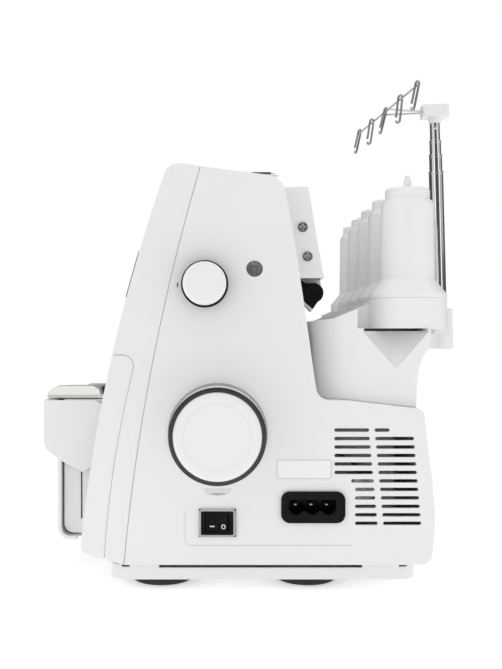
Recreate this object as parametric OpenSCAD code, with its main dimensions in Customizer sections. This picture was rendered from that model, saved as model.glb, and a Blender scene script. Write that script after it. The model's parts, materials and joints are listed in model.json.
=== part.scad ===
// Five-thread serger (overlock) sewing machine, in millimetres.
// +X is the handwheel end, -Y the operator's side, +Z up. The origin is the centre of the
// whole machine's bounding box, at the height of the surface that the feet stand on.

/* [Casing] */
// Length of the casing between its two end faces
casing_len = 320; // [300:1:330]
// Thickness of the moulded walls
wall = 3; // [2.5:0.1:3.2]
// Length of the tall column, measured from the right end face
column_len = 188; // [184:1:190]
// Length of the right end casing moulding
end_len = 32; // [30:1:33]
// Width of the open seam lines between mouldings
seam = 0.6; // [0.4:0.1:0.8]
// Underside of the overhanging sewing head
head_z = 200; // [198:1:204]

/* [Handwheel] */
// Radius of the handwheel's white disc
wheel_r = 31.1; // [29:0.1:33]
// Distance that the handwheel stands out of the casing
wheel_out = 32; // [30:1:34]
// Radius of the main shaft
shaft_r = 6; // [5:0.5:6]

/* [Dials] */
// Radius of the side dial's cap
dial_r = 15.5; // [14:0.1:16]
// Distance that the side dial stands out of the casing
dial_out = 20; // [18:1:22]
// Radius of a tension dial
tension_r = 17; // [16.6:0.1:17.2]
// Pitch of the five tension dials
tension_pitch = 38; // [36:1:38]

/* [Thread stand] */
// Pitch of the five spool pins
spool_pitch = 60; // [59.6:0.1:60.2]
// Outer radius of a spool cup on the tray
cup_r = 29.7; // [29:0.1:29.7]
// Radius of the cone holder's barrel
cone_r = 20.4; // [19:0.1:22]
// Forward lean of the telescopic rod in degrees
rod_lean = 1.5; // [1:0.1:2]
// Pitch of the hooks along the guide wire
hook_pitch = 41.5; // [39:0.5:42]

/* [Hidden] */
$fn = 48;
fit = 0.05;                       // radial clearance of a running fit
end_x = 144;                      // right end face of the casing
left_x = end_x - casing_len;      // left end face of the casing
column_x = end_x - column_len;    // left side of the tall column
split_x = end_x - end_len;        // seam between the end casing and the rest
bottom_z = 20.4;                  // underside of the casings
front_y_max = -178;               // front of the bulge under the cloth plate
shelf_z = 140.4;                  // shelf behind the column
plate_z = 139;                    // top of the needle plate
bed_z = 135.5;                    // top of the bed under the cloth plate
corner_x = 79.5;                  // left end of the front corner panel
bed_end_x = 64;                   // right end of the bed's own casing
cover_end_x = 72;                 // right end of the looper cover
wheel_c = [-36, 116.9];           // main shaft axis, Y and Z
motor_c = [75, 72];               // motor axis, Y and Z
main_pulley_r = 30;
motor_pulley_r = 10;
pulley_x = [107, 117];            // both pulleys' ends
tension_z = 232.5;                // height of the dial strip's middle
tension_proud = 1.6;              // how far a tension dial stands out of the slope
tension_x = [for (i = [0:4]) 100 - i*tension_pitch];
side_dial_c = [-45.3, 224.8];
recess_c = [-9.1, 236.5];
vent_r = 1.3;                     // half the height of a cooling slot
rocker_c = [143.5, -36.6, 50.85];
rocker_tilt = 8;
inlet_y = [21.1, 32.85, 44.6];
inlet_z = 62.7;
hinge_c = [-150, 28];             // looper cover hinge, Y and Z
hinge_r = 2.5;
ears_x = [-166, -20, 52];         // left faces of the fixed hinge ears
ear_len = 8;
slide_max = 6;                    // sideways travel of the looper cover
pivot_c = [-168, -46];            // cloth plate pivot, X and Y
needle_c = [-100, -80];           // needle bar axis, X and Y
presser_c = [-100, -60];          // presser bar axis, X and Y
upper_c = [-40, 96];              // upper looper pivot, X and Z
lower_c = [-40, 70];              // lower looper pivot, X and Z
knife_c = [-66, -97.2];           // knife rod axis, X and Y
lifter_c = [36.7, 220.1];         // lifter lever pivot, Y and Z
tower_x = 137;                    // right end of the tower under the spool tray
spool_y = 110.6;
spool_x = [for (i = [0:4]) 104 - i*spool_pitch];
tray_z = 193;
rim_z = 215.9;
rod_foot = [-16, 165.9, 180];     // bottom of the telescopic rod
rod_r = [4.45, 5.1, 5.75, 6.4];   // outer radii of the sections, thinnest first
rod_top = [212, 185.2, 172.5, 157];
rod_wall = 0.6;

// Outline rules, as Y against Z.
function front_y(z) = -136 + 0.1014*(z - 34) + 0.000455*pow(z - 34, 2);
function seam_y(z) = -104.5 + 0.09*(z - 20) + 0.00035*pow(z - 20, 2);
function corner_y(z) = -119 + 0.06*(z - 26) + 0.00068*pow(z - 26, 2);
function rear_y(z) = 35.4 - 0.13*(z - 150) - 0.00014*pow(z - 150, 2);
function top_z(y) = 313.7 - 0.1276*(y + 67.7);
function slope_angle(z) = atan(0.1014 + 0.00091*(z - 34));
function steps(a, b, n) = [for (i = [0:n]) a + (b - a)*i/n];
function arc(c, r, a, b, n = 6) = [for (t = steps(a, b, n)) c + r*[cos(t), sin(t)]];
function flip(p) = [for (i = [len(p) - 1:-1:0]) p[i]];
function rounded(a, b, r) = concat(
    arc([b.x - r, b.y - r], r, 0, 90), arc([a.x + r, b.y - r], r, 90, 180),
    arc([a.x + r, a.y + r], r, 180, 270), arc([b.x - r, a.y + r], r, 270, 360));

// Parts of the casing's section, each set in by t.
function slope(z0, z1, t) = [for (z = steps(z0, z1, 9)) [front_y(z) + t, z]];
function front_top(t) = arc([-64.9, 303], 10.3 - t, 160, 84, 6);
function lower_rear(t) = concat(
    [[45.6, shelf_z - t], [59.7, shelf_z - 0.2 - t]],
    arc([109, 128.5], 6 - t/2, 90, 0, 5),
    [[117.9 - t, 103.5], [120.9 - t, 80], [122.5 - t, 58.8], [122.2 - t, 44]],
    arc([112.6, 28.4], 8 - t, 0, -90, 5));
function column_rear(t, z0 = 158) = concat(
    arc([-0.8, 290.9], 14 - t, 83, 8, 6),
    [for (z = steps(280, z0, 8)) [rear_y(z) - t, z]]);
function end_outline(t, front) = concat(
    [for (z = steps(bottom_z + t, 311 - t, 10)) [seam_y(z) + seam/2 - front, z]],
    column_rear(t),
    arc([45.6, 150.4], 10 + t, 180, 270, 5),
    lower_rear(t));
function cover_path(t) = concat(
    [[front_y_max + t, 135]],
    arc([-165.5, 102.5], 12.5 - t, 180, 245, 5),
    [[-166.5 + t, 87.5]],
    arc([-156.5, 32], 10 - t, 180, 270, 6),
    [[-151, 22 + t]]);

module box(a, b) translate(a) cube(b - a);
// Extrudes a Y-Z outline along X.
module along_x(x0, x1) translate([x0, 0, 0]) rotate([90, 0, 90]) linear_extrude(x1 - x0) children();
module rod_x(x0, x1, c, r) translate([x0, c.x, c.y]) rotate([0, 90, 0]) cylinder(h = x1 - x0, r = r);
module rod_y(y0, y1, c, r) translate([c.x, y1, c.y]) rotate([90, 0, 0]) cylinder(h = y1 - y0, r = r);
module rod_z(z0, z1, c, r) translate([c.x, c.y, z0]) cylinder(h = z1 - z0, r = r);
// Turns an outline of [radius, X] points about an axis along X.
module turned_x(c, pts) translate([0, c.x, c.y]) rotate([0, 90, 0]) rotate_extrude() polygon(pts);

module base_pan() color("white") {
    difference() {
        translate([0, 0, 8.7]) linear_extrude(10.8) polygon(rounded([left_x + 8, -115.6], [140, 110.6], 14));
        translate([0, 0, 11.2]) linear_extrude(9)
            polygon(rounded([left_x + 10.5, -113.1], [137.5, 108.1], 11.5));
        box([left_x, -79, 17.3], [141, 70, 20]);
        box([130, -106.5, 17.9], [141, -100.7, 20]);
        box([130, 97, 17.9], [141, 103, 20]);
    }
    for (x = [left_x + 40, 110], y = [-90, 84]) rod_z(11, bottom_z - 0.02, [x, y], 7);
}

module rubber_feet() color("#222222")
    for (x = [left_x + 36, 103], y = [-78.8, 31.8])
        translate([x, y, 0]) rotate_extrude() polygon([[0, 0], [21.8, 0], [23, 1.2], [23, 8.7], [0, 8.7]]);

// Cast base with the left upright, the looper bearing block and the cover's hinge ears.
module frame_base() color("silver") difference() {
    union() {
        box([left_x + 8, -118, 23.7], [104, 100, 27]);
        box([-150, -62, 27], [-143, 0, 131]);
        box([-56, -62, 27], [-24, -50, 108]);
        box([-72, -102, 27], [-60, -91, 70]);
        for (x = ears_x) {
            rod_x(x, x + ear_len, hinge_c, 5.5);
            box([x, hinge_c.x, 24], [x + ear_len, -117, 32]);
        }
    }
    rod_x(-151, -142, wheel_c, 11);
    rod_y(-63, -49, upper_c, 4 + fit);
    rod_y(-63, -49, lower_c, 4 + fit);
    rod_z(40, 71, knife_c, 3 + fit);
    for (x = ears_x) rod_x(x - 1, x + ear_len + 1, hinge_c, hinge_r + fit);
}

// Cast right upright, upper arm and the head block that guides the two bars.
module frame_arm() color("silver") difference() {
    union() {
        along_x(96, 104) polygon([[-95, 27.02], [100, 27.02], [100, 118], [30, 132], [20, 150], [8, 286],
            [-50, 286], [-60, 150], [-92, 120]]);
        box([-118, -50, 262], [96, -12, 285]);
        box([-118, -50, 208], [-82, -40, 263]);
        box([-118, -88, 208], [-82, -49, 248]);
    }
    rod_x(95, 105, wheel_c, 11);
    rod_x(95, 105, motor_c, 8);
    rod_z(207, 249, needle_c, 3.5 + fit);
    rod_z(207, 249, presser_c, 4 + fit);
}

module end_casing() color("white") difference() {
    union() {
        difference() {
            along_x(split_x, end_x) polygon(end_outline(0, 0));
            along_x(split_x - 1, end_x - wall) polygon(end_outline(wall, 8));
        }
        rod_x(end_x - 18, end_x - 1, recess_c, 8.5);
        rod_x(end_x - 8, end_x - 1, side_dial_c, 8.5);
        difference() {
            rod_x(end_x - 1, end_x + 2.5, wheel_c, 39);
            rod_x(end_x, end_x + 3, wheel_c, 36.2);
        }
    }
    rod_x(end_x - 5, end_x + 5, wheel_c, shaft_r + 2);
    rod_x(end_x - 15, end_x + 1, recess_c, 6.1);
    rod_x(end_x - 20, end_x + 1, side_dial_c, 4.5 + fit);
    box([end_x - 5, -47.3, 42.3], [end_x + 1, -25.2, 60]);
    box([end_x - 5, 12.3, 53], [end_x + 1, 54.7, 72.2]);
    vents();
}

// Twelve rows of cooling slots in two slanting columns.
module vents() for (k = [0:11]) {
    z = 118.7 - 6.18*k;
    left_edge = k < 6 ? 49 : (k == 6 ? 61.4 : 64.1);
    right_edge = k == 0 ? 89.3 : 106.7 + 0.52*k;
    vent_slot(left_edge, 74.4 + 0.57*k, z);
    vent_slot(78.3 + 0.57*k, right_edge, z);
}
module vent_slot(y0, y1, z) {
    box([end_x - 5, y0 + vent_r, z - vent_r], [end_x + 1, y1 - vent_r, z + vent_r]);
    for (y = [y0 + vent_r, y1 - vent_r]) rod_x(end_x - 5, end_x + 1, [y, z], vent_r);
}

// Upper front moulding from the dial slope over the top to the seam.
module front_cover() color("white") difference() {
    union() {
        front_shell(column_x, corner_x, 141.5);
        front_shell(corner_x, end_x - wall, 173.8);
        front_shell(left_x + wall, column_x, head_z);
        front_end(end_x - wall, end_x, 174);
        along_x(end_x - wall, end_x) polygon(concat(
            [for (z = steps(bottom_z, 174, 8)) [seam_y(z) - seam/2, z]], arc([-105.6, 165.2], 8.8, 90, 0, 5),
            [for (z = steps(161, 26, 8)) [corner_y(z) + seam, z]], [[-116, bottom_z + 3]]));
        front_end(left_x, left_x + wall, head_z);
        front_end(column_x, column_x + wall, 141.5, head_z + 2);
        box([left_x + wall, front_y(head_z + wall) + 1, head_z], [column_x + wall, seam_y(head_z) - seam/2,
            head_z + wall]);
    }
    bar_window();
    dial_window(0.2, 20);
}
module front_shell(x0, x1, z0) along_x(x0, x1) polygon(concat(
    slope(z0, 306.4, 0), front_top(0), top_back(), flip(front_top(wall)), flip(slope(z0, 303, wall))));
function top_back() = [for (t = [0, wall]) [seam_y(top_z(-49) - t) - seam/2, top_z(-49) - t]];
module front_end(x0, x1, z0, z1 = 0) along_x(x0, x1) polygon(concat(
    slope(z0, z1 == 0 ? 306.4 : z1, 0), z1 == 0 ? front_top(0) : [], z1 == 0 ? [top_back()[0]] : [],
    [for (z = steps(z1 == 0 ? 310.5 : z1, z0, 8)) [seam_y(z) - seam/2, z]]));
// Opening in the head's underside for the needle bar and presser bar.
module bar_window() box([-114, -90, head_z - 1], [-86, -48, head_z + wall + 1]);
// Opening in the slope for the dial strip, made wider by gap on each side.
module dial_window(gap, deep) along_x(tension_x[4] - 18 - gap, end_x - wall - 0.2 + gap)
    polygon([for (p = [[215.7 - gap, -4], [249.2 + gap, -4], [249.2 + gap, deep], [215.7 - gap, deep]])
        [front_y(p.x) + p.y, p.x]]);

module front_corner_panel() color("white") difference() {
    along_x(corner_x, end_x) polygon(corner_outline(0));
    along_x(corner_x + wall, end_x - wall) polygon(corner_outline(wall));
}
function corner_outline(t) = concat(
    [[-119 + 2*t, 24.8 + t], [-124.5, 26 + t], [-134.1 + t, 29.6 + t/2]],
    slope(34.5, 173.2 - t, t), [[-110 + 2*t, 173.2 - t]],
    t > 0 ? [[-90, 172.7 - t]] : arc([-105.6, 165.2], 8, 75, 0, 4),
    [for (z = steps(162, 30, 7)) [corner_y(z) + 3*t, z]]);

// Moulding behind the seam: the column's back and left side, and the head's shell.
module head_cover() color("white") difference() {
    union() {
        along_x(column_x, split_x - seam) polygon(head_outline(0, 0, shelf_z + 0.4));
        along_x(left_x, column_x + 1) polygon(head_outline(0, 0, head_z));
    }
    along_x(column_x + wall, split_x + 1) polygon(head_outline(wall, 8, shelf_z - 9));
    along_x(left_x + wall, column_x + wall + 1) polygon(head_outline(wall, 8, head_z + wall));
    bar_window();
}
function head_outline(t, front, z0) = concat(
    [for (z = steps(z0, 311 - t, 10)) [seam_y(z) + seam/2 - front, z]], column_rear(t, z0));

module lower_rear_casing() color("white") difference() {
    along_x(left_x, split_x - seam) polygon(concat([[34, bottom_z], [34, shelf_z]], lower_rear(0)));
    along_x(left_x + wall, split_x + 1)
        polygon(concat([[33, bottom_z + wall], [33, shelf_z - wall]], lower_rear(wall)));
}

// Lower left casing: left end wall, ledges under the plates, floor and the end wall inside the cover.
module bed_casing() color("white") {
    along_x(left_x, left_x + wall)
        polygon(concat(cover_path(0), [[-120, bottom_z], [33.4, bottom_z], [33.4, bed_z],
            [front_y_max, bed_z]]));
    box([left_x + wall, -123, bed_z - wall], [-128, 33.4, bed_z]);
    box([-158, -151.4, bed_z - wall], [-128, -122.9, bed_z]);
    box([-128, -36, bed_z - wall], [column_x - 2, 33.4, bed_z]);
    box([left_x + wall, -142, bottom_z], [bed_end_x, 33.4, 23.4]);
    difference() {
        along_x(bed_end_x, bed_end_x + wall) polygon(concat(
            arc([-154.5, 34], 7.4, 180, 270), [[-142, 26.6], [-142, bottom_z], [-118.02, bottom_z],
            [-118.02, bed_z], [-161.9, bed_z]]));
        box([bed_end_x - 1, -148.5, 38], [bed_end_x + wall + 1, -147.2, 78]);
    }
    rod_z(bed_z - 1, 140.4, pivot_c, 4);
}

// Hollow tower on the shelf that carries the spool tray. Its edge beside the column is widely
// rounded, and a half cone and a slot clear the first cup.
module stand_tower() color("white") difference() {
    union() {
        along_x(-130, tower_x) polygon(concat([[62, 140.15], [62, tray_z - 0.02], [121.3, tray_z - 0.02]],
            tower_back()));
        along_x(column_x + 10, tower_x) polygon(concat([[67, 139.65], [67, 207.4], [50, 200.3],
            [29.4, 198], [36.6, 152]], arc([45.6, 150.4], 9.8, 176, 270, 5), [[59.7, 140.45]]));
    }
    along_x(-127, 105) polygon([[65, 130], [65, 187], [115, 187], [108, 163], [107, 130]]);
    along_x(column_x + 13, 94) polygon([[41, 130], [40, 152], [33.4, 195], [66, 195], [66, 130]]);
    difference() {
        box([tower_x - 40, 20, 130], [tower_x + 1, 73, 210]);
        rod_z(129, 211, [tower_x - 40, 73], 40);
    }
    translate([tower_x, 95.3, 163.8]) cylinder(h = 27.2, r1 = 0.6, r2 = 24.9);
    box([90, 71.7, 191], [tower_x + 1, 119, tray_z + 1]);
}
function tower_back() = [[121.3, 190], [119.3, 178], [115.8, 172.8], [112.2, 163.8], [110.8, 151.4],
    [110.4, 134.8], [109, 134.75]];

// Cover on the back of the column, with a notch for the lifter lever.
module rear_top_cover() color("white") difference() {
    along_x(-60, 121) polygon(rear_cover_outline(0, 0));
    along_x(-57, 94.5) polygon(rear_cover_outline(2.5, 6));
    along_x(97, 118) polygon(rear_cover_outline(2.5, 6));
    box([97, 20, 210], [125, 50, 231]);
    rod_x(94, 98, lifter_c, 3.6);
}
function rear_cover_outline(t, inward) = concat(
    [for (z = steps(216 - inward, 286, 5)) [rear_y(z) + 0.4 - inward, z]],
    arc([-0.8, 290.9], 14.4 - inward, 10, 35, 3),
    [[24, 299.9 - t], [31.8 - t/2, 300 - t], [33.5 - t, 293], [39.6 - t, 255.7], [43.9 - t, 232.3],
    [45.2 - t, 216 - inward]]);

module case_screws() color("#b8bcc0") {
    for (c = [[27.9, 269.2], [31.5, 247.1]]) difference() {
        rod_x(121, 122.8, c, 3.9);
        box([122, c.x - 2.4, c.y - 0.5], [123, c.x + 2.4, c.y + 0.5]);
        box([122, c.x - 0.5, c.y - 2.4], [123, c.x + 0.5, c.y + 2.4]);
    }
    difference() {
        rod_x(end_x - 14.9, end_x - 12, recess_c, 5.4);
        box([end_x - 13, recess_c.x - 0.6, recess_c.y - 4], [end_x, recess_c.x + 0.6, recess_c.y + 4]);
    }
    for (x = [-124, -52]) rod_z(plate_z + 0.02, plate_z + 1, [x, -44], 3.2);
}

// Strip on the slope, standing 1 mm proud, with a slot for each tension dial.
module dial_bezel() color("#3a3d40") difference() {
    intersection() {
        dial_window(0, 20);
        along_x(left_x, end_x) polygon(concat(slope(212, 252, -1), flip(slope(212, 252, 2.5))));
    }
    for (x = tension_x) box([x - 5.4, -130, 217.5], [x + 5.4, -60, 247.5]);
}
tension_c = [front_y(tension_z) + (tension_r - tension_proud)*cos(slope_angle(tension_z)),
    tension_z - (tension_r - tension_proud)*sin(slope_angle(tension_z))];
module tension_discs() color("silver") {
    rod_x(tension_x[4] - 14, tension_x[0] + 20, tension_c, 2.5);
    for (x = tension_x) {
        difference() {
            rod_x(x - 8.5, x - 7.3, tension_c, 9);
            rod_x(x - 9, x - 7, tension_c, 2.49);
        }
        difference() {
            rod_x(x - 7.0, x - 5.8, tension_c, 9);
            rod_x(x - 8, x - 5, tension_c, 2.49);
        }
    }
}
module tension_dial(i) color("white") difference() {
    rod_x(tension_x[i] - 4.5, tension_x[i] + 4.5, tension_c, tension_r);
    rod_x(tension_x[i] - 5, tension_x[i] + 5, tension_c, 2.5 + fit);
    for (a = [0:15:345]) translate([tension_x[i], tension_c.x, tension_c.y]) rotate([a, 0, 0])
        box([-5, tension_r - 0.6, -0.5], [5, tension_r + 1, 0.5]);
}

module side_dial() color("white") difference() {
    union() {
        turned_x(side_dial_c, [[0, end_x + 1.5], [dial_r, end_x + 1.5], [dial_r, end_x + dial_out - 2],
            [dial_r - 2, end_x + dial_out], [0, end_x + dial_out]]);
        rod_x(end_x - 18, end_x + 2, side_dial_c, 4.5);
    }
    turned_x(side_dial_c, [[6.5, end_x + 1], [dial_r - 2.2, end_x + 1], [dial_r - 2.2, end_x + dial_out - 4],
        [6.5, end_x + dial_out - 4]]);
}
module side_dial_skirt() color("#26282a") turned_x(side_dial_c, [[dial_r + 0.02, end_x + 1.5],
    [dial_r + 1.5, end_x + 1.5], [dial_r + 1.5, end_x + 10], [dial_r + 0.9, end_x + 11],
    [dial_r + 0.02, end_x + 11]]);

module switch_bezel() color("#c9ccce") difference() {
    union() {
        box([end_x + 0.01, -49.6, 41.1], [end_x + 1.6, -22.8, 61.2]);
        box([124, -47, 42.6], [end_x + 0.5, -25.5, 59.7]);
    }
    box([128, -45.2, 44.4], [end_x + 3, -28, 57.3]);
    rod_z(43, 58.7, [rocker_c.x, rocker_c.y], 1.5 + fit);
}
module power_rocker() color("#1d1e20") translate(rocker_c) rotate([0, 0, -rocker_tilt]) {
    translate([0, 0, -6.2]) linear_extrude(12.4)
        polygon([[2.2, -8.1], [0.4, 0], [2.2, 8.1], [-2, 8.1], [-6, 5], [-6, -5], [-2, -8.1]]);
    rod_z(-7.5, 7.5, [0, 0], 1.5);
}

module inlet_housing() color("#1d1e20") difference() {
    union() {
        along_x(end_x + 0.01, end_x + 2) polygon(rounded([10.2, 51.2], [56.8, 74.1], 6.2));
        box([122, 12.5, 53.2], [end_x + 0.5, 54.5, 72]);
    }
    for (y = inlet_y) rod_x(128, end_x + 3, [y, inlet_z], 5.5);
    box([128, inlet_y[0] - 5.5, inlet_z], [end_x + 3, inlet_y[2] + 5.5, inlet_z + 5.5]);
    box([128, inlet_y[0], 60], [end_x + 3, inlet_y[2], inlet_z + 1]);
    for (y = inlet_y) rod_x(120, 129, [y, inlet_z], 1.92);
}
module inlet_pins() color("#c8a24a") for (y = inlet_y) rod_x(119, 135, [y, inlet_z], 1.9);

module shaft_bearings() color("silver") for (x = [-150, 96]) difference() {
    rod_x(x, x + (x < 0 ? 7 : 8), wheel_c, 10.98);
    rod_x(x - 1, x + 9, wheel_c, shaft_r + fit);
}

// A loop of radius r1 round c1 and r2 round c2, both along X.
function belt_loop(c1, r1, c2, r2) = let(
    d = c2 - c1, a = atan2(d.y, d.x), b = acos((r1 - r2)/norm(d)))
    concat(arc(c1, r1, a + b, a + 360 - b, 24), arc(c2, r2, a - b, a + b, 14));
module drive_belt() color("#202020") along_x(pulley_x[0] + 2, pulley_x[1] - 2) difference() {
    polygon(belt_loop(wheel_c, main_pulley_r + 2.4, motor_c, motor_pulley_r + 2.4));
    polygon(belt_loop(wheel_c, main_pulley_r + 0.4, motor_c, motor_pulley_r + 0.4));
}
module motor() color("#4a4d50") difference() {
    union() {
        rod_x(38, 92, motor_c, 29);
        rod_x(32, 38.5, motor_c, 12);
        rod_x(91.5, 95.8, motor_c, 12);
    }
    rod_x(82, 97, motor_c, 3 + fit);
}
module motor_pulley() color("silver") {
    rod_x(83, 120, motor_c, 3);
    rod_x(pulley_x[0], pulley_x[1], motor_c, motor_pulley_r);
}
module main_shaft() color("silver") {
    rod_x(-152, end_x + 24, wheel_c, shaft_r);
    turned_x(wheel_c, [[shaft_r - 0.5, pulley_x[0] - 2], [10, pulley_x[0] - 2], [10, pulley_x[0]],
        [main_pulley_r, pulley_x[0]], [main_pulley_r, pulley_x[1]], [shaft_r - 0.5, pulley_x[1]]]);
    for (x = [-136, 10]) rod_x(x, x + 12, wheel_c + [0, 2.5], 10);
}
wheel_x = end_x + wheel_out;
module handwheel() color("white") turned_x(wheel_c, [
    [shaft_r + 0.02, end_x + 6], [34.5, end_x + 6], [34.5, wheel_x - 8], [wheel_r, wheel_x - 8],
    [wheel_r, wheel_x - 3], [wheel_r - 0.9, wheel_x - 0.9], [wheel_r - 3, wheel_x], [0, wheel_x],
    [0, end_x + 24.5], [9, end_x + 24.5],
    [9, end_x + 9], [shaft_r + 0.02, end_x + 9]]);
module handwheel_ring() color("#9a9ea2") turned_x(wheel_c, [[wheel_r + 0.02, wheel_x - 7.98],
    [34.5, wheel_x - 7.98], [34.5, wheel_x - 5], [33.8, wheel_x - 4], [wheel_r + 0.02, wheel_x - 4]]);

module looper_cover() color("white") difference() {
    union() {
        along_x(left_x + 6, cover_end_x) polygon(concat(cover_path(0), flip(cover_path(wall))));
        along_x(cover_end_x - wall, cover_end_x) polygon(bulge_end());
        along_x(left_x + 6, left_x + 6 + wall) polygon(bulge_end());
        box([left_x + 6, front_y_max + 1, 132], [cover_end_x, -168, 135]);
        box([left_x + 6, -169, 132], [-68, -152, 135]);
        for (x = [-150, -70, 24]) rod_x(x, x + 18, hinge_c, 5.2);
    }
    rod_x(left_x, cover_end_x + 1, hinge_c, hinge_r + fit);
    for (x = ears_x) box([x - slide_max - 0.5, -157, 20], [x + ear_len + 0.5, -140, 27]);
}
function bulge_end() = concat([[front_y_max, 135]], arc([-165.5, 102.5], 12.5, 180, 245, 5),
    [[-166.5, 87.5], [-146, 76.5], [-138, 82], [-133, 96], [-125, 128], [-136, 135]]);
module cover_hinge_rod() color("silver") rod_x(left_x + 7, bed_end_x - 1, hinge_c, hinge_r);

module cloth_plate() color("#b9b3a4") difference() {
    union() {
        translate([0, 0, 136.3]) linear_extrude(plate_z - 136.3) polygon([[left_x, -147], [left_x, -38],
            [-132, -38], [-132, -102], [column_x - 2, -102], [column_x - 2, -123], [bed_end_x, -123],
            [bed_end_x, -176.5], [-44, -176.5], [-62, -173], [-82, -157], [-100, -149.5], [-112, -147]]);
        intersection() {
            along_x(44, bed_end_x) polygon([[-176.5, 136.3], [-176.5, 140.6], [-174.5, 143.6], [-170.5, 145.4],
                [-160, 146], [-140, 146], [-134.5, 143], [-132, 136.3]]);
            translate([0, -130, 0]) rotate([90, 0, 0]) linear_extrude(48)
                polygon([[44, 136], [bed_end_x, 136], [bed_end_x, 138.8], [bed_end_x - 7, 146.1], [44, 146.1]]);
        }
        along_x(34, 44.1) polygon([[-138.6, 138], [-138.6, 141], [-134, 144.6], [-128, 144.6], [-128, 138]]);
    }
    rod_z(130, 150, pivot_c, 4 + fit);
}
module needle_plate() color("silver") difference() {
    box([-130, -100, bed_z + 0.02], [column_x - 2, -38, plate_z]);
    box([-108, -82, 130], [-92, -78, 145]);
    for (x = [[-116, -112], [-105.5, -94.5], [-90, -86]]) box([x[0], -77.5, 130], [x[1], -42.5, 145]);
    box([-84, -101, 130], [-78, -93, 145]);
}
module presser_foot() color("silver") {
    difference() {
        union() {
            box([-114, -106, plate_z + 0.1], [-86, -52, plate_z + 3]);
            along_x(-114, -86) polygon([[-112, plate_z + 3.5], [-106, plate_z + 0.1], [-106, plate_z + 3],
                [-112, plate_z + 5.5]]);
        }
        box([-108, -84, 130], [-92, -76, 150]);
    }
    box([-104, -66, plate_z + 2.9], [-96, -54, 160]);
}
module presser_bar() color("silver") {
    rod_z(160.02, 275, presser_c, 4);
    box([-106, -66, 252], [-94, -54, 258]);
}
// Needle bar with its clamp block and three needles.
module needle_bar() color("silver") {
    rod_z(172, 262, needle_c, 3.5);
    box([-109, -86, 171], [-91, -74, 181]);
    for (x = [-104, -100, -96]) {
        rod_z(150, 171.5, [x, -80], 0.9);
        translate([x, -80, 146]) cylinder(h = 4, r1 = 0.2, r2 = 0.9);
    }
}
module feed_dogs() color("silver") {
    box([-115.5, -74, 122], [-86.5, -46, 128]);
    for (x = [[-115.5, -112.5], [-105, -95], [-89.5, -86.5]]) {
        box([x[0], -74, 127.9], [x[1], -46, 135.6]);
        for (y = [-74:2:-48]) along_x(x[0], x[1]) polygon([[y, 135.5], [y + 1, 137.3], [y + 2, 135.5]]);
    }
}
// A looper lies in an X-Z plane between y0 and y1 and turns about its shaft along Y.
module looper(c, y0, y1, tip) {
    rod_y(y0, -48, c, 4);
    rod_y(y0, y1, c, 8);
    translate([0, y1, 0]) rotate([90, 0, 0]) linear_extrude(y1 - y0) polygon([c + [-3, -5], c + [6, 4],
        c + [4, 10], tip + [12, -10], tip + [10, -4], tip, tip + [2, -6], tip + [4, -14]]);
}
module upper_looper() color("silver") looper(upper_c, -94, -90, [-74, 128]);
module lower_looper() color("silver") looper(lower_c, -87, -83, [-84, 112]);
module upper_knife() color("silver") {
    rod_z(44, 110, knife_c, 3);
    box([-82.5, -98, 108], [-62, -95.2, 116]);
    box([-82.5, -98, 115], [-80, -95.2, plate_z]);
}

module lifter_lever() color("#1d1e20") difference() {
    union() {
        rod_x(100, 116, lifter_c, 7.6);
        along_x(100, 116) polygon([[25.9, 230.6], [30.8, 227.3], [36.7, 227.7], [44.3, 220.1], [36.4, 207.8],
            [27.6, 216], [26.6, 222]]);
    }
    rod_x(99, 112.5, lifter_c, 3.52);
}
// Lifter shaft across the back of the machine, with the metal edge of the lever.
module lifter_shaft() color("#b9b3a4") {
    rod_x(-52, 112.4, lifter_c, 3.5);
    along_x(101, 115) polygon([[28.3, 214.9], [36.3, 207.5], [34.9, 205.8], [29.5, 212]]);
}

module spool_tray() color("white") {
    difference() {
        union() {
            for (x = spool_x) rod_z(tray_z, rim_z, [x, spool_y], cup_r);
            box([spool_x[4], spool_y - 28, tray_z], [spool_x[0], spool_y + 28, tray_z + 4]);
            along_x(spool_x[4], spool_x[0]) polygon([[70.6, tray_z], [70.6, 208.5], [81, 212.6],
                [90, 212.6], [90, tray_z]]);
        }
        for (x = spool_x) rod_z(tray_z + 3, rim_z + 1, [x, spool_y], cup_r - 2.5);
        for (i = [1:4]) box([spool_x[i] + 8, 73.5, tray_z + 3], [spool_x[i] + 52, 82, tray_z + 21]);
    }
    for (x = spool_x) {
        rod_z(tray_z + 2, 308, [x, spool_y], 2.9);
        rod_z(307, 311.2, [x, spool_y], 2);
        rod_z(tray_z + 2, tray_z + 8, [x, spool_y], 7);
    }
}
module cone_holder(i) color("white") translate([spool_x[i], spool_y, 0]) rotate_extrude() polygon([
    [3.2, 216], [6, 216], [6, 286], [17.2, 286], [18, 226], [25.5, 219.5], [25.5, 216], [30, 216],
    [30, 219.4], [22.4, 228.6], [cone_r + 0.4, 231], [cone_r - 0.3, 288], [cone_r - 1.4, 291],
    [cone_r - 3.2, 292.4], [17, 293.2], [17, 299.4], [16, 300.6], [3.2, 300.6]]);

module on_rod() translate(rod_foot) rotate([rod_lean, 0, 0]) children();
module stand_bracket() color("white") difference() {
    union() {
        box([-26, 121.6, 175.9], [-6, 160, 189.6]);
        rod_z(175.7, 189.6, [-16, 165.8], 10.9);
        translate([0, 0, 189.5]) linear_extrude(22.4) polygon(rounded([-27, 157], [-5, 174.8], 3));
    }
    on_rod() rod_z(0, 60, [0, 0], rod_r[3] + 0.02);
}
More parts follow.
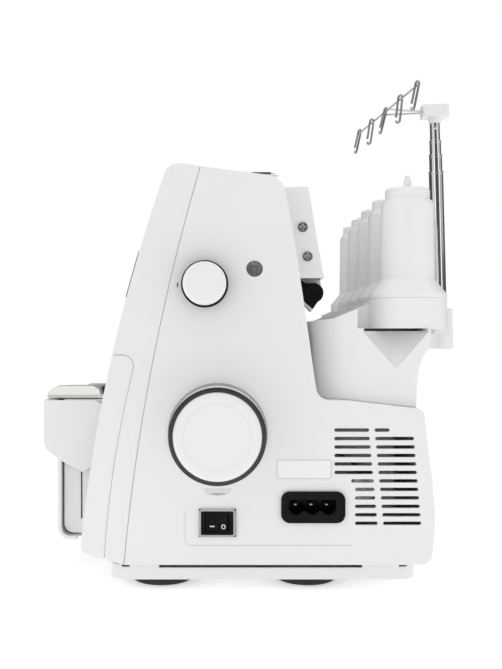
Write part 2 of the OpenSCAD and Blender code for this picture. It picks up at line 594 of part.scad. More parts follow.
// One tube of the telescopic rod; i counts from the thinnest.
module rod_tube(i, low) on_rod() difference() {
    rod_z(low, rod_top[i], [0, 0], rod_r[i]);
    rod_z(low - 1, rod_top[i] + 1, [0, 0], rod_r[i] - rod_wall);
}
module rod_section_1() color("silver") rod_tube(0, 26);
module rod_section_2() color("silver") rod_tube(1, 18);
module rod_section_3() color("silver") rod_tube(2, 10);
module rod_section_4() color("silver") rod_tube(3, 0.5);
module guide_head() color("white") on_rod() difference() {
    union() {
        rod_z(201, 206.5, [0, 0], 5.4);
        translate([0, 0, 206]) linear_extrude(10.9) polygon(rounded([-7.5, -11.85], [7.5, 11.85], 2.6));
    }
    rod_z(200, 212.5, [0, 0], rod_r[0] + fit);
}
// Wire frame in front of the guide head, with five hairpin hooks hanging from it.
module guide_wire() color("silver") on_rod() translate([0, 0, 211]) rotate([0, 0, 7.4]) {
    translate([-2.1*hook_pitch, -46.5, 0]) rotate([0, 90, 0]) cylinder(h = 4.2*hook_pitch, r = 1);
    for (s = [-1, 1]) translate([3*s, -12.9, 0]) rotate([90, 0, 12*s]) cylinder(h = 34.6, r = 1);
    for (i = [-2:2]) translate([i*hook_pitch, -46.5, 0]) hook();
}
module hook() {
    for (s = [-1, 1]) translate([0, 1.7*s, -19]) cylinder(h = 22, r = 0.8);
    for (e = [[3, 90], [-19, -90]]) translate([0, 0, e[0]]) rotate([e[1], 0, 90])
        rotate_extrude(angle = 180) translate([1.7, 0]) circle(0.8, $fn = 16);
}
module top_thread_guide() color("silver") {
    box([-60, -10, 313.4], [98, 5.4, 315.4]);
    for (x = [-52, 20, 86]) box([x, -5, top_z(-5) + 0.02], [x + 6, -3, 314]);
}

base_pan();
rubber_feet();
frame_base();
frame_arm();
end_casing();
front_cover();
front_corner_panel();
head_cover();
lower_rear_casing();
bed_casing();
stand_tower();
rear_top_cover();
case_screws();
dial_bezel();
tension_discs();
switch_bezel();
inlet_housing();
inlet_pins();
shaft_bearings();
drive_belt();
motor();
needle_plate();
spool_tray();
stand_bracket();
rod_section_4();
top_thread_guide();
main_shaft();
handwheel();
handwheel_ring();
motor_pulley();
tension_dial(0);  // tension_dial_1
tension_dial(1);  // tension_dial_2
tension_dial(2);  // tension_dial_3
tension_dial(3);  // tension_dial_4
tension_dial(4);  // tension_dial_5
side_dial();
side_dial_skirt();
power_rocker();
looper_cover();
cover_hinge_rod();
cloth_plate();
presser_bar();
presser_foot();
needle_bar();
feed_dogs();
upper_looper();
lower_looper();
upper_knife();
lifter_lever();
lifter_shaft();
rod_section_1();
rod_section_2();
rod_section_3();
guide_head();
guide_wire();
cone_holder(0);  // cone_holder_1
cone_holder(1);  // cone_holder_2
cone_holder(2);  // cone_holder_3
cone_holder(3);  // cone_holder_4
cone_holder(4);  // cone_holder_5
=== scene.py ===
import json
import math

import bmesh
import bpy
from mathutils import Matrix, Vector


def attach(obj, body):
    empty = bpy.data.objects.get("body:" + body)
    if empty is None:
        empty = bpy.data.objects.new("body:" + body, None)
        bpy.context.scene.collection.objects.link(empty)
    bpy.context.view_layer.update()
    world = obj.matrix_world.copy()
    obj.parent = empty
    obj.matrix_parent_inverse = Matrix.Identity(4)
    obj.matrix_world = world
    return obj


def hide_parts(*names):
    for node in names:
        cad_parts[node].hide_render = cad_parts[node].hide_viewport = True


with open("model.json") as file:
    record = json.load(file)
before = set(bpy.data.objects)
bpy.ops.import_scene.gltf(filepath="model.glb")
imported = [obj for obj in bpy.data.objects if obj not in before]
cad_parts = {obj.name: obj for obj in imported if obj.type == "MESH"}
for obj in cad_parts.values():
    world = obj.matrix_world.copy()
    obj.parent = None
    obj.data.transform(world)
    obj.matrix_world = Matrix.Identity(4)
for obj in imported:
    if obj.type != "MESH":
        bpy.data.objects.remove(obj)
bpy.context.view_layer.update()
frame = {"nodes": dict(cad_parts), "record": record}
NODES = frame["nodes"]
SLOT_OF = {part["node"]: part["material_slot"] for part in frame["record"]["subparts"]}
MM = 0.001
SCENE = bpy.context.scene

# ---------------------------------------------------------------- camera
IMAGE_LONG_SIDE = 669
FOCAL_PIXELS = 870
SHIFT_SIDE_PIXELS, SHIFT_UP_PIXELS = 26.0, 0.5
EYE = (0.778, -0.0307, 0.188)
camera_data = bpy.data.cameras.new("camera")
camera_data.sensor_width = 36.0
camera_data.lens = camera_data.sensor_width * FOCAL_PIXELS / IMAGE_LONG_SIDE
camera_data.shift_x = SHIFT_SIDE_PIXELS / IMAGE_LONG_SIDE
camera_data.shift_y = SHIFT_UP_PIXELS / IMAGE_LONG_SIDE
camera_data.clip_start = 0.01
camera = bpy.data.objects.new("camera", camera_data)
camera.location = EYE
camera.rotation_euler = (math.radians(90), 0.0, math.radians(90))
SCENE.collection.objects.link(camera)
SCENE.camera = camera


# ---------------------------------------------------------------- materials
TONE_BAND, ROUGH_BAND = (0.35, 0.65), (0.3, 0.7)  # ranges of the noise that the tones and roughness span


def surface(name, tones, rough, tone_scale=18.0, grain=900.0, bump=0.03, depth=0.00005,
            stretch=(1.0, 1.0, 1.0), metallic=0.0, coat=0.0, coat_rough=0.1, specular=0.5, glow=0.0):
    """A principled surface whose colour, roughness and height vary with noise in the frame's coordinates."""
    mat = bpy.data.materials.new(name)
    mat.use_nodes = True
    tree = mat.node_tree
    tree.nodes.clear()
    new, link = tree.nodes.new, tree.links.new
    out = new("ShaderNodeOutputMaterial")
    shader = new("ShaderNodeBsdfPrincipled")
    link(shader.outputs["BSDF"], out.inputs["Surface"])
    shader.inputs["Metallic"].default_value = metallic
    shader.inputs["Coat Weight"].default_value = coat
    shader.inputs["Coat Roughness"].default_value = coat_rough
    shader.inputs["Specular IOR Level"].default_value = specular
    shader.inputs["Emission Color"].default_value = (1.0, 1.0, 1.0, 1.0)
    shader.inputs["Emission Strength"].default_value = glow
    coords = new("ShaderNodeTexCoord")
    place = new("ShaderNodeMapping")
    place.inputs["Scale"].default_value = stretch
    link(coords.outputs["Object"], place.inputs["Vector"])

    def noise(scale, detail):
        node = new("ShaderNodeTexNoise")
        node.inputs["Scale"].default_value = scale
        node.inputs["Detail"].default_value = detail
        link(place.outputs["Vector"], node.inputs["Vector"])
        return node.outputs["Fac"]

    ramp = new("ShaderNodeValToRGB")
    ramp.color_ramp.elements[0].position, ramp.color_ramp.elements[1].position = TONE_BAND
    for element, tone in zip(ramp.color_ramp.elements, tones):
        element.color = (*tone, 1.0)
    link(noise(tone_scale, 4.0), ramp.inputs["Fac"])
    link(ramp.outputs["Color"], shader.inputs["Base Color"])
    spread = new("ShaderNodeMapRange")
    spread.inputs["From Min"].default_value, spread.inputs["From Max"].default_value = ROUGH_BAND
    spread.inputs["To Min"].default_value, spread.inputs["To Max"].default_value = rough
    link(noise(tone_scale * 4.0, 3.0), spread.inputs["Value"])
    link(spread.outputs["Result"], shader.inputs["Roughness"])
    height = new("ShaderNodeBump")
    height.inputs["Strength"].default_value = bump
    height.inputs["Distance"].default_value = depth
    link(noise(grain, 2.0), height.inputs["Height"])
    link(height.outputs["Normal"], shader.inputs["Normal"])
    return mat


def grey(value, tint=(1.0, 1.0, 1.0)):
    """A tinted grey as a colour."""
    return tuple(value * t for t in tint)


def pair(value, spread=0.03, tint=(1.0, 1.0, 1.0)):
    """The darker and the lighter tone around a tinted grey."""
    return grey(value * (1 - spread), tint), grey(value * (1 + spread), tint)


def mark(name, tones, rough=(0.5, 0.6), tone_scale=30.0, bump=0.03):
    """The surface of a seam, line or printed mark."""
    return surface(name, tones, rough, tone_scale, 1500.0, bump)


MATERIALS = {
    "white_shell": surface("white_shell", pair(0.82, 0.006, (1.0, 1.0, 0.995)), (0.3, 0.38), 9.0, 1400.0, 0.04),
    "white_trim": surface("white_trim", pair(0.83, 0.004), (0.34, 0.4), 14.0, 1600.0, 0.01),
    "white_thread_parts": surface("white_thread_parts", pair(0.84, 0.006), (0.3, 0.38), 14.0, 1500.0, 0.025),
    "black_rubber": surface("black_rubber", pair(0.022, 0.2), (0.6, 0.75), 60.0, 1800.0, 0.25),
    "black_plastic": surface("black_plastic", pair(0.008, 0.2), (0.2, 0.3), 60.0, 2200.0, 0.06, specular=0.07),
    "smoked_plastic": surface("smoked_plastic", pair(0.035, 0.1, (1.0, 1.02, 1.08)), (0.15, 0.22), 40.0, 1500.0,
                              0.02, coat=0.6, coat_rough=0.06),
    "cast_aluminium": surface("cast_aluminium", pair(0.5, 0.08, (1.0, 1.0, 1.02)), (0.45, 0.6), 40.0, 420.0,
                              0.5, 0.0003, metallic=0.9),
    "steel": surface("steel", pair(0.6, 0.05), (0.22, 0.34), 60.0, 900.0, 0.05, stretch=(4.0, 1.0, 0.4),
                     metallic=1.0),
    "rod_chrome": surface("rod_chrome", pair(0.82, 0.04, (1.0, 0.99, 0.97)), (0.1, 0.16), 60.0, 900.0, 0.02,
                          stretch=(6.0, 6.0, 0.25), metallic=1.0),
    "hook_wire": surface("hook_wire", pair(0.45, 0.05), (0.12, 0.2), 60.0, 900.0, 0.02, metallic=1.0),
    "screw_metal": surface("screw_metal", pair(0.75, 0.06, (0.99, 1.0, 1.0)), (0.14, 0.24), 160.0, 1800.0, 0.05,
                           metallic=1.0),
    "wheel_ring": surface("wheel_ring", pair(0.06, 0.05, (1.0, 1.01, 1.02)), (0.16, 0.24), 60.0, 1200.0, 0.03,
                          stretch=(6.0, 1.0, 1.0), metallic=1.0),
    "plate_metal": surface("plate_metal", pair(0.74, 0.012, (1.0, 0.98, 0.93)), (0.3, 0.38), 30.0, 900.0, 0.01,
                           stretch=(0.4, 3.0, 1.0), metallic=0.5),
    "motor_housing": surface("motor_housing", pair(0.03, 0.2), (0.4, 0.55), 60.0, 1200.0, 0.2),
    "brass": surface("brass", pair(0.5, 0.05, (1.0, 0.78, 0.4)), (0.2, 0.3), 120.0, 1600.0, 0.05, metallic=1.0),
}
SEAM_TONE = mark("seam_tone", pair(0.48, 0.04))
FAINT_SEAM = mark("faint_seam", pair(0.55, 0.03))
LINE_TONE = mark("line_tone", pair(0.42, 0.04), (0.4, 0.5))
# Grey of the painted shade under the handwheel, also used for the line on the handwheel's face.
SHADE_TONE = mark("shade_tone", pair(0.7, 0.01), (0.4, 0.5))
LABEL_TONE = mark("label_tone", pair(0.86, 0.006), (0.35, 0.42), bump=0.02)
DARK_MARK = mark("dark_mark", pair(0.05, 0.1), (0.4, 0.5), 60.0)
WHITE_MARK = mark("white_mark", pair(0.75, 0.02), (0.4, 0.5), 60.0)


# ---------------------------------------------------------------- shading of meshes
SHARP_OVER = 42  # degrees between faces
FLAT_WITHIN = 0.4  # degrees
WELD_GAP = 0.000005  # metres


def soft_edges_group():
    """Geometry nodes that shade every face smooth and keep edges over SHARP_OVER sharp."""
    group = bpy.data.node_groups.new("soft_edges", "GeometryNodeTree")
    group.interface.new_socket("Geometry", in_out="INPUT", socket_type="NodeSocketGeometry")
    group.interface.new_socket("Geometry", in_out="OUTPUT", socket_type="NodeSocketGeometry")
    new, link = group.nodes.new, group.links.new
    start, end = new("NodeGroupInput"), new("NodeGroupOutput")
    smooth, sharp = new("GeometryNodeSetShadeSmooth"), new("GeometryNodeSetShadeSmooth")
    smooth.domain, sharp.domain = "FACE", "EDGE"
    smooth.inputs["Shade Smooth"].default_value = True
    sharp.inputs["Shade Smooth"].default_value = False
    angle, over = new("GeometryNodeInputMeshEdgeAngle"), new("FunctionNodeCompare")
    over.data_type, over.operation = "FLOAT", "GREATER_THAN"
    over.inputs["B"].default_value = math.radians(SHARP_OVER)
    link(angle.outputs["Unsigned Angle"], over.inputs["A"])
    link(start.outputs[0], smooth.inputs["Geometry"])
    link(smooth.outputs["Geometry"], sharp.inputs["Geometry"])
    link(over.outputs["Result"], sharp.inputs["Selection"])
    link(sharp.outputs["Geometry"], end.inputs[0])
    return group


SOFT_EDGES = soft_edges_group()


def shade(obj, width, segments=3, angle=30.0, weld=True, flatten=True):
    """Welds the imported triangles, rounds the hard edges by width mm and shades the result smooth."""
    if weld:
        join = obj.modifiers.new("weld", "WELD")
        join.merge_threshold = WELD_GAP
    if weld and flatten:
        flat = obj.modifiers.new("flat", "DECIMATE")
        flat.decimate_type = "DISSOLVE"
        flat.angle_limit = math.radians(FLAT_WITHIN)
    if width > 0:
        edge = obj.modifiers.new("edges", "BEVEL")
        edge.limit_method = "ANGLE"
        edge.angle_limit = math.radians(angle)
        edge.width = width * MM
        edge.segments = segments
        edge.use_clamp_overlap = True
        edge.miter_outer = "MITER_ARC" if flatten and segments > 1 else "MITER_SHARP"
    soft = obj.modifiers.new("soft", "NODES")
    soft.node_group = SOFT_EDGES
    weight = obj.modifiers.new("weight", "WEIGHTED_NORMAL")
    weight.keep_sharp = True
    weight.weight = 60


# Widths of the rounded edges. Other nodes have PLAIN_EDGE; edges wider than FINE_EDGE have more steps.
PLAIN_EDGE, FINE_EDGE = 0.25, 0.4
EDGE_WIDTH = {"end_casing": 1.0, "front_cover": 0.8, "front_corner_panel": 1.0, "head_cover": 0.8,
              "lower_rear_casing": 1.0, "bed_casing": 0.6, "stand_tower": 1.2, "rear_top_cover": 0.8,
              "base_pan": 1.0, "looper_cover": 0.8, "stand_bracket": 0.8, "rubber_feet": 0.6,
              "handwheel": 0.8, "side_dial": 0.8, "guide_head": 0.5, "spool_tray": 0.6,
              "frame_base": 1.0, "frame_arm": 1.5, "cloth_plate": 0.5, "motor": 1.5,
              "lifter_lever": 1.0, "switch_bezel": 0.4, "power_rocker": 0.5, "inlet_housing": 0.8,
              "inlet_pins": 1.4, "handwheel_ring": 0.35, "case_screws": 0.5}
# Faces with many holes or notches keep their triangles, since one large face would not fill cleanly.
KEEP_TRIANGLES = ("needle_plate", "frame_base", "front_corner_panel", "front_cover", "lower_rear_casing")
for name, node in NODES.items():
    node.data.materials.clear()
    node.data.materials.append(MATERIALS[SLOT_OF[name]])
    edge_width = EDGE_WIDTH.get(name, PLAIN_EDGE)
    shade(node, edge_width, 3 if edge_width > FINE_EDGE else 2, flatten=name not in KEEP_TRIANGLES)


# ---------------------------------------------------------------- pieces
def solid(name, verts, faces, material, body, bevel=0.0):
    """A mesh piece from corners in millimetres; it rides on body and takes the given material."""
    mesh = bpy.data.meshes.new(name)
    build = bmesh.new()
    made = [build.verts.new(Vector(v) * MM) for v in verts]
    for face in faces:
        build.faces.new([made[i] for i in face])
    bmesh.ops.recalc_face_normals(build, faces=build.faces)
    build.to_mesh(mesh)
    build.free()
    piece = bpy.data.objects.new(name, mesh)
    piece.data.materials.append(material)
    SCENE.collection.objects.link(piece)
    shade(piece, bevel, 2, weld=False)
    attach(piece, body)
    return piece


def prism(name, outline, x0, x1, material, body, bevel=0.0, place=None):
    """An outline of (Y, Z) corners, pushed out along X; place maps (x, y, z) to the frame."""
    place = place or (lambda x, y, z: (x, y, z))
    count = len(outline)
    verts = [place(x, y, z) for x in (x0, x1) for y, z in outline]
    faces = [list(range(count)), list(range(count, 2 * count))]
    faces += [[i, (i + 1) % count, (i + 1) % count + count, i + count] for i in range(count)]
    return solid(name, verts, faces, material, body, bevel)


def ribbon(name, path, width, x0, x1, material, body, closed=False):
    """A strip of one width along a path of (Y, Z) points, between two X planes."""
    points = [Vector(p) for p in path]
    count = len(points)
    left, right = [], []
    for i, here in enumerate(points):
        before = points[i - 1] if (closed or i > 0) else here
        after = points[(i + 1) % count] if (closed or i < count - 1) else here
        along = (after - before).normalized()
        across = Vector((-along.y, along.x)) * width / 2
        left.append(here + across)
        right.append(here - across)
    verts = [(x, p.x, p.y) for x in (x0, x1) for side in (left, right) for p in side]
    faces = []
    for i in range(count if closed else count - 1):
        j = (i + 1) % count
        faces += [[i, j, count + j, count + i], [2 * count + i, 2 * count + j, 3 * count + j, 3 * count + i],
                  [i, j, 2 * count + j, 2 * count + i], [count + i, count + j, 3 * count + j, 3 * count + i]]
    if not closed:
        for i in (0, count - 1):
            faces.append([i, count + i, 3 * count + i, 2 * count + i])
    return solid(name, verts, faces, material, body)


def steps(a, b, count):
    """Evenly spaced numbers from a to b."""
    return [a + (b - a) * i / count for i in range(count + 1)]


def arc(centre, radius, a, b, count=8):
    """Points on a circle between two angles in degrees."""
    return [(centre[0] + radius * math.cos(math.radians(t)), centre[1] + radius * math.sin(math.radians(t)))
            for t in steps(a, b, count)]


def rounded(low, high, radius):
    """The outline of a rectangle with rounded corners."""
    (y0, z0), (y1, z1) = (c + radius for c in low), (c - radius for c in high)
    corners = ((y1, z1), (y0, z1), (y0, z0), (y1, z0))
    return [p for i, corner in enumerate(corners) for p in arc(corner, radius, 90 * i, 90 * (i + 1), 6)]


END_X = 144.0  # outer face of the end casing
WHEEL_Y, WHEEL_Z, WHEEL_X = -36.0, 116.9, 176.0  # handwheel's axis, and its outer face
UNDER = 0.1  # how far marks reach below the surface that they lie on


def seam_y(z):
    """Y of the seam between the front cover and the end casing."""
    return -104.5 + 0.09 * (z - 20) + 0.00035 * (z - 20) ** 2


def corner_y(z):
    """Y of the seam behind the front corner panel."""
    return -119 + 0.06 * (z - 26) + 0.00068 * (z - 26) ** 2


def front_y(z):
    """Y of the machine's front surface."""
    return -136 + 0.1014 * (z - 34) + 0.000455 * (z - 34) ** 2


# Backing just behind the open seams, so that they read as hairlines.
ribbon("seam_backing", [(seam_y(z), z) for z in steps(21.5, 309.5, 40)], 0.9, END_X - 1.6, END_X - 0.45,
       SEAM_TONE, "machine")
ribbon("corner_seam_backing", [(corner_y(z) + 0.35, z) for z in steps(27, 160, 20)]
       + arc((-105.6, 165.2), 8.4, 0, 90) + [(front_y(173.6) + 0.8, 173.6)], 0.9, END_X - 1.4, END_X - 0.3,
       FAINT_SEAM, "machine")

# Marks and lines on the end face.
label = rounded((7.2, 83.3), (46.7, 96.9), 1.6)
prism("blank_label", label, END_X - UNDER, END_X + 0.12, LABEL_TONE, "machine")
ribbon("blank_label_edge", label, 0.32, END_X, END_X + 0.2, LINE_TONE, "machine", closed=True)
panel_path = ([(-59.8, z) for z in steps(60, 41, 6)] + arc((-54.8, 39.6), 5, 180, 270)
              + [(y, 34.6) for y in steps(-50, 62, 12)])
ribbon("panel_line", panel_path, 0.3, END_X - UNDER, END_X + 0.04, LINE_TONE, "machine")
index_path = [(-65.4, 222.8), (-65.2, 226)]
ribbon("dial_index", index_path, 0.8, END_X, END_X + 0.2, DARK_MARK, "machine")

# Below the handwheel, two thin tinted plates on the surface paint the wheel's shadow: a soft painted shade and
# a darker painted shadow core under it.
painted_shade_outline = [(WHEEL_Y + y, z) for y, z in ((-10.5, 76.4), (-8.5, 72), (0, 70.8), (8.5, 72), (10.5, 76.4))]
prism("wheel_painted_shade", painted_shade_outline, END_X - UNDER, END_X + 0.03, SHADE_TONE, "machine")
# Darker painted shadow core of the handwheel's shadow, in the grey of the lines.
painted_shadow_core_outline = [(WHEEL_Y + y, z)
               for y, z in ((-6, 71.8), (0, 71.1), (6, 71.8), (4.8, 72.6), (0, 73), (-4.8, 72.6))]
prism("wheel_painted_shadow_core", painted_shadow_core_outline, END_X - UNDER, END_X + 0.06, LINE_TONE, "machine")

# Switch: grey frame round the black plate, and generic marks on the rocker's two halves, which meet
# at ROCKER_X and ROCKER_Y.
ribbon("switch_frame", rounded((-49.0, 41.8), (-23.8, 60.6), 1.6), 1.5, END_X + 0.02, END_X + 1.75, LINE_TONE,
       "machine", closed=True)
ROCKER_X, ROCKER_Y = 143.90, -36.66
LEFT_HALF, RIGHT_HALF = (0.65, -8.27), (2.91, 7.76)  # (X, Y) from the middle to each half's outer edge


def on_rocker(half, outline, name):
    """Lays an outline of (distance from the rocker's middle, Z) on one half of the rocker."""
    along = Vector(half).normalized()
    out = Vector((along.y, -along.x)) * (1 if along.y > 0 else -1)

    def place(x, u, z):
        spot = Vector((ROCKER_X, ROCKER_Y)) + along * u + out * x
        return (spot.x, spot.y, z)

    prism(name, outline, 0.02, 0.16, WHITE_MARK, "power_rocker", place=place)


RING_CENTRE, RING_OUTER, RING_INNER = (5.2, 48.6), 1.7, 1.1
on_rocker(LEFT_HALF, rounded((1.6, 48.1), (5.0, 49.0), 0.3), "rocker_mark_on")
for part, (a, b) in (("upper", (0, 180)), ("lower", (180, 360))):
    ring = arc(RING_CENTRE, RING_OUTER, a, b) + arc(RING_CENTRE, RING_INNER, b, a)
    on_rocker(RIGHT_HALF, ring, "rocker_mark_off_" + part)

# Dark wedge round the cloth plate's raised end.
wedge = [(-138.9, 138.9), (-138.9, 141.2), (-134.1, 144.9), (-127.7, 144.9), (-127.7, 138.9)]
prism("plate_wedge", wedge, 33.7, 44.4, DARK_MARK, "cloth_plate", bevel=0.3)


# ---------------------------------------------------------------- wires
def tube(name, lines, radius, material, body):
    """A curve object of round wires, one spline for each line of points in millimetres."""
    data = bpy.data.curves.new(name, "CURVE")
    data.dimensions = "3D"
    data.bevel_depth = radius * MM
    data.bevel_resolution = 3
    data.resolution_u = 6
    data.use_fill_caps = True
    for line in lines:
        spline = data.splines.new("NURBS")
        spline.points.add(len(line) - 1)
        for point, place in zip(spline.points, line):
            point.co = (*(Vector(place) * MM), 1.0)
        spline.use_endpoint_u = True
        spline.order_u = 3
    piece = bpy.data.objects.new(name, data)
    piece.data.materials.append(material)
    SCENE.collection.objects.link(piece)
    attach(piece, body)
    return piece


def turned(degrees, axis):
    """A rotation about X, Y or Z."""
    return Matrix.Rotation(math.radians(degrees), 4, axis)


ROD = Matrix.Translation((-16, 165.9, 180)) @ turned(1.5, "X")  # the rod's foot, leaning as the rod does
WIRE = ROD @ Matrix.Translation((0, 0, 211)) @ turned(7.4, "Z")  # the guide head, turned a little
BAR_Y = -46.5
HOOK_PITCH = 41.5
HOOKS = [(-2, 14, 25), (-1, 10, -20), (0, 16, 35), (1, 8, -30), (2, 13, 15)]  # place, lean and twist
HOOK_SHAPE = ([(0.3, -1.9, -15.5)] + [(0.2, -1.7, z) for z in (-12, -6, 0)]
              + [(0, -1.6, 2.4), (0, -0.9, 4), (0, 0.9, 4), (0, 1.6, 2.4)]
              + [(-0.2, 1.7, z) for z in (0, -7, -14)]
              + [(-0.2, 1.6, -18.4), (0, 0.9, -20), (0.3, -0.8, -20), (0.5, -1.5, -18.2)])
wire_lines = [[(x, BAR_Y, 0) for x in (-2.1 * HOOK_PITCH, 0, 2.1 * HOOK_PITCH)]]
wire_lines += [[(2.0 * side, -8.5, 0), (3 * side, -13, 0), (10.2 * side, -46.4, 0)] for side in (1, -1)]
hook_lines = []
for index, lean, twist in HOOKS:
    turn = Matrix.Translation((index * HOOK_PITCH, BAR_Y, 0)) @ turned(-lean, "X") @ turned(twist, "Z")
    hook_lines.append([turn @ Vector(p) for p in HOOK_SHAPE])
guide_frame = tube("guide_frame", [[WIRE @ Vector(p) for p in line] for line in wire_lines], 0.85,
                   MATERIALS["steel"], "guide_head")
tube("guide_hooks", [[WIRE @ p for p in line] for line in hook_lines], 0.95, MATERIALS["hook_wire"],
     "guide_head")
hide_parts("guide_wire")
GUIDE_X = 94
tip_lines = [[(GUIDE_X, 3, 314.6), (GUIDE_X, 8.4, 314.6), (GUIDE_X, 8.4, 315.2)],
             [(GUIDE_X, 5.6, 313.2), (GUIDE_X, 8.4, 313.1), (GUIDE_X, 11.2, 313.0)]]
tube("thread_guide_tip", tip_lines, 0.4, MATERIALS["steel"], "machine")


# ---------------------------------------------------------------- turned details
def lathe(name, profile, count, matrix, material, body):
    """Turns a closed profile of (radius, Z) points about the Z axis of matrix."""
    rows = len(profile)
    around = [2 * math.pi * k / count for k in range(count)]
    verts = [matrix @ Vector((r * math.cos(a), r * math.sin(a), z)) for a in around for r, z in profile]
    faces = [[k * rows + i, k * rows + (i + 1) % rows, (k + 1) % count * rows + (i + 1) % rows,
              (k + 1) % count * rows + i] for k in range(count) for i in range(rows)]
    return solid(name, verts, faces, material, body)


# Rolled lip round the mouth of each rod section; the fixed section belongs to the machine.
LIPS = (("rod_section_2", 5.1, 185.2), ("rod_section_3", 5.75, 172.5), ("machine", 6.4, 157.0))
for body, radius, top in LIPS:
    lip = [(radius - 0.2, top - 2.6), (radius + 0.22, top - 2.3), (radius + 0.22, top - 0.7),
           (radius - 0.1, top + 0.05), (radius - 0.35, top + 0.05)]
    lathe("lip_" + body, lip, 40, ROD, MATERIALS["rod_chrome"], body)
RIVET = ROD @ Matrix.Translation((4.35, -0.9, 196)) @ turned(90, "Y")
lathe("rod_rivet", [(0.01, -0.2), (1.35, -0.2), (1.2, 0.35), (0.6, 0.62), (0.01, 0.66)], 20, RIVET,
      MATERIALS["screw_metal"], "rod_section_1")

HUB = Matrix.Translation((116, 36.7, 220.1)) @ turned(90, "Y")
lathe("lever_hub_ring", [(4.5, -0.2), (5.9, -0.2), (5.9, 0.1), (5.5, 0.45), (4.9, 0.45), (4.5, 0.1)], 40, HUB,
      MATERIALS["black_plastic"], "lifter")

WHEEL_FACE = Matrix.Translation((WHEEL_X, WHEEL_Y, WHEEL_Z)) @ turned(90, "Y")
lathe("wheel_face_line", [(23.3, -0.2), (23.65, -0.2), (23.65, 0.02), (23.3, 0.02)], 72, WHEEL_FACE, SHADE_TONE,
      "main_shaft")


# ---------------------------------------------------------------- numbers on the tension dials
DIAL_COUNT, DIAL_R, DIAL_X, DIAL_PITCH, DIAL_Z = 5, 17.0, 100.0, 38.0, 232.5
DIAL_PROUD = 1.6  # how far each dial stands out of the front
DIGIT_COUNT, DIGIT_SIZE, DIGIT_THICK, DIGIT_R = 10, 4.2, 0.12, 16.92
FIRST_DIGIT = -20  # degrees
front_slope = math.atan(0.1014 + 0.00091 * (DIAL_Z - 34))  # from the derivative of front_y
DIAL_CENTRE = (front_y(DIAL_Z) + (DIAL_R - DIAL_PROUD) * math.cos(front_slope),
               DIAL_Z - (DIAL_R - DIAL_PROUD) * math.sin(front_slope))
for dial in range(DIAL_COUNT):
    centre = (DIAL_X - dial * DIAL_PITCH, *DIAL_CENTRE)
    marks = bmesh.new()
    for number in range(DIGIT_COUNT):
        text = bpy.data.curves.new("digit", "FONT")
        text.body, text.size, text.extrude = str(number), DIGIT_SIZE * MM, DIGIT_THICK * MM
        text.align_x, text.align_y = "CENTER", "CENTER"
        holder = bpy.data.objects.new("digit", text)
        SCENE.collection.objects.link(holder)
        flat = bpy.data.meshes.new_from_object(holder.evaluated_get(bpy.context.evaluated_depsgraph_get()))
        turn = turned(360 // DIGIT_COUNT * number + FIRST_DIGIT, "X")
        outward = Matrix.Translation((0, -DIGIT_R * MM, 0)) @ turned(90, "X")
        flat.transform(Matrix.Translation(Vector(centre) * MM) @ turn @ outward)
        marks.from_mesh(flat)
        bpy.data.objects.remove(holder)
    mesh = bpy.data.meshes.new("dial_numbers_%d" % (dial + 1))
    marks.to_mesh(mesh)
    marks.free()
    numbers = bpy.data.objects.new(mesh.name, mesh)
    numbers.data.materials.append(DARK_MARK)
    SCENE.collection.objects.link(numbers)
    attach(numbers, "tension_dial_%d" % (dial + 1))

# ---------------------------------------------------------------- stage and light
FLOOR_HALF = 6.0  # metres
FLOOR_GLOW = 0.36
AMBIENT = 0.73  # strength of the even light from all round
floor_mesh = bpy.data.meshes.new("floor")
builder = bmesh.new()
bmesh.ops.create_grid(builder, x_segments=8, y_segments=8, size=FLOOR_HALF)
builder.to_mesh(floor_mesh)
builder.free()
floor = bpy.data.objects.new("floor", floor_mesh)
floor.data.materials.append(surface("floor", pair(0.93, 0.004), (0.6, 0.7), 2.0, 400.0, 0.02, specular=0.0,
                                    glow=FLOOR_GLOW))
SCENE.collection.objects.link(floor)

world = bpy.data.worlds.new("studio")
SCENE.world = world
world.use_nodes = True
tree = world.node_tree
tree.nodes.clear()
new, link = tree.nodes.new, tree.links.new


def level(value, low, high, to_low, to_high):
    """Value scaled from one range to another and held inside it."""
    node = new("ShaderNodeMapRange")
    for socket, number in zip(("From Min", "From Max", "To Min", "To Max"), (low, high, to_low, to_high)):
        node.inputs[socket].default_value = number
    link(value, node.inputs["Value"])
    return node.outputs["Result"]


def combine(operation, a, b=None):
    """The result of a Math node on one or two outputs."""
    node = new("ShaderNodeMath")
    node.operation = operation
    link(a, node.inputs[0])
    if b is not None:
        link(b, node.inputs[1])
    return node.outputs["Value"]


def background(strength):
    """A white Background node."""
    node = new("ShaderNodeBackground")
    node.inputs["Color"].default_value = (1.0, 1.0, 1.0, 1.0)
    node.inputs["Strength"].default_value = strength
    return node


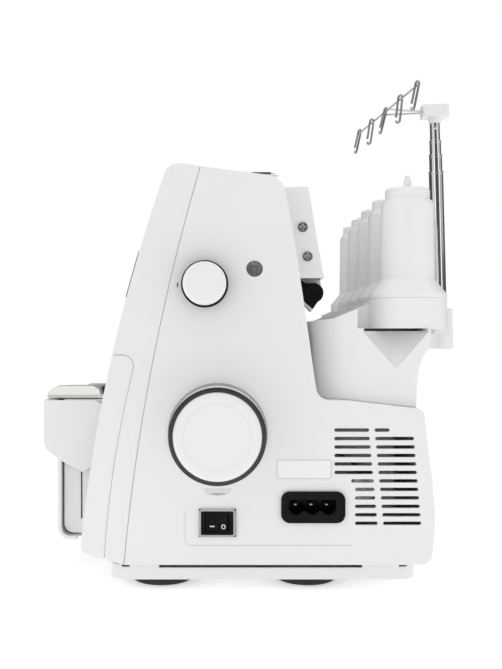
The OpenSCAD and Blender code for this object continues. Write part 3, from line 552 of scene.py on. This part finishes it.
# What metal and gloss reflect, seen by glossy rays only: a dark room with two tall bright panels
# and a bright ceiling.
heading = new("ShaderNodeTexCoord")
axes = new("ShaderNodeSeparateXYZ")
link(heading.outputs["Generated"], axes.inputs["Vector"])
PANEL_RISE, PANEL_FALL = (0.42, 0.54), (0.64, 0.76)  # where the panels begin and end, as |Y| of the direction
sideways = combine("ABSOLUTE", axes.outputs["Y"])
panels = combine("MULTIPLY", level(sideways, *PANEL_RISE, 0.0, 1.0), level(sideways, *PANEL_FALL, 1.0, 0.0))
near = level(combine("ADD", axes.outputs["X"], axes.outputs["Z"]), 0.1, 0.45, 0.0, 1.3)
ceiling = level(axes.outputs["Z"], 0.8, 0.95, 0.08, 0.9)
reflected = background(1.0)
link(combine("ADD", combine("MULTIPLY", panels, near), ceiling), reflected.inputs["Strength"])
ambient, backdrop = background(AMBIENT), background(1.0)
rays = new("ShaderNodeLightPath")
for_gloss, for_camera = new("ShaderNodeMixShader"), new("ShaderNodeMixShader")
link(rays.outputs["Is Glossy Ray"], for_gloss.inputs["Fac"])
link(ambient.outputs["Background"], for_gloss.inputs[1])
link(reflected.outputs["Background"], for_gloss.inputs[2])
link(rays.outputs["Is Camera Ray"], for_camera.inputs["Fac"])
link(for_gloss.outputs["Shader"], for_camera.inputs[1])
link(backdrop.outputs["Background"], for_camera.inputs[2])
link(for_camera.outputs["Shader"], new("ShaderNodeOutputWorld").inputs["Surface"])


MIDDLE = (0.0, 0.0, 0.2)


def softbox(name, place, size, power):
    """A rectangular area light in metres and watts, aimed at the middle of the machine."""
    data = bpy.data.lights.new(name, "AREA")
    data.shape = "RECTANGLE"
    data.size, data.size_y = size
    data.energy = power
    lamp = bpy.data.objects.new(name, data)
    lamp.location = place
    lamp.rotation_euler = (Vector(MIDDLE) - Vector(place)).to_track_quat("-Z", "Y").to_euler()
    SCENE.collection.objects.link(lamp)


softbox("top", (0.1, 0.0, 1.7), (2.0, 2.0), 6.0)
softbox("front", (0.7, -1.5, 0.9), (1.2, 1.2), 3.0)
softbox("back", (0.5, 1.6, 1.0), (1.2, 1.2), 2.0)
SCENE.view_settings.view_transform = "Standard"
